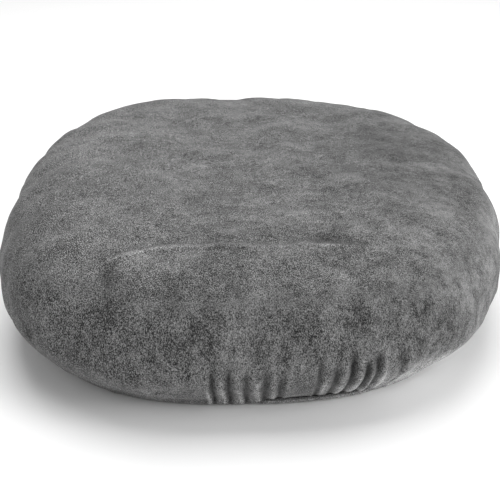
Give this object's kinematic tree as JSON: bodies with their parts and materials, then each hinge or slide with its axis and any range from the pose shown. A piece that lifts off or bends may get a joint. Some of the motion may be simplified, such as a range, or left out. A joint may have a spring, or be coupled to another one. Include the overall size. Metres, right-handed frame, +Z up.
{
  "type": "floor cushion",
  "caption": "Large rounded-square floor cushion with a one-piece velvet crown, corded piping at the base, a zipped base and a foam filling in a liner.",
  "frame": {"origin": "centre of the cushion's outline, on the plane of the underside that it rests on", "axes": "+Z up through the seat, +X to the right as seen from the front, front towards -Y; the zip runs along X near the rear"},
  "size_m": [0.6, 0.6, 0.18],
  "materials": {
    "velvet": "satin",
    "piping_cotton": "matte",
    "base_cloth": "matte",
    "zip_tape": "matte",
    "zip_coil": "satin",
    "zip_metal": "satin",
    "calico": "matte",
    "wadding": "matte",
    "foam_soft": "matte",
    "foam_firm": "matte"
  },
  "bodies": {
    "cushion": {"velvet_crown": "velvet", "piping_sleeve": "velvet", "piping_cord": "piping_cotton", "base_panel_front": "base_cloth", "base_panel_rear": "base_cloth", "zip_tape_front": "zip_tape", "zip_tape_rear": "zip_tape", "zip_coil_front": "zip_coil", "zip_coil_rear": "zip_coil", "zip_bottom_stop": "zip_metal", "zip_top_stop_front": "zip_metal", "zip_top_stop_rear": "zip_metal", "zip_end_tab_left": "base_cloth", "zip_end_tab_right": "base_cloth", "liner_crown": "calico", "liner_base": "calico", "wadding_wrap": "wadding", "foam_upper": "foam_soft", "foam_lower": "foam_firm"},
    "slider": {"zip_slider": "zip_metal", "zip_bridge": "zip_metal"},
    "pull": {"zip_pull": "zip_metal"}
  },
  "joints": [
    {"name": "zip_travel", "type": "slide", "parent": "cushion", "child": "slider", "axis": [1, 0, 0], "range_m": [-0.3, 0]},
    {"name": "pull_swing", "type": "hinge", "parent": "slider", "child": "pull", "pos_m": [0.151, 0.135, 0.0023], "axis": [0, -1, 0], "range_deg": [0, 170]}
  ]
}
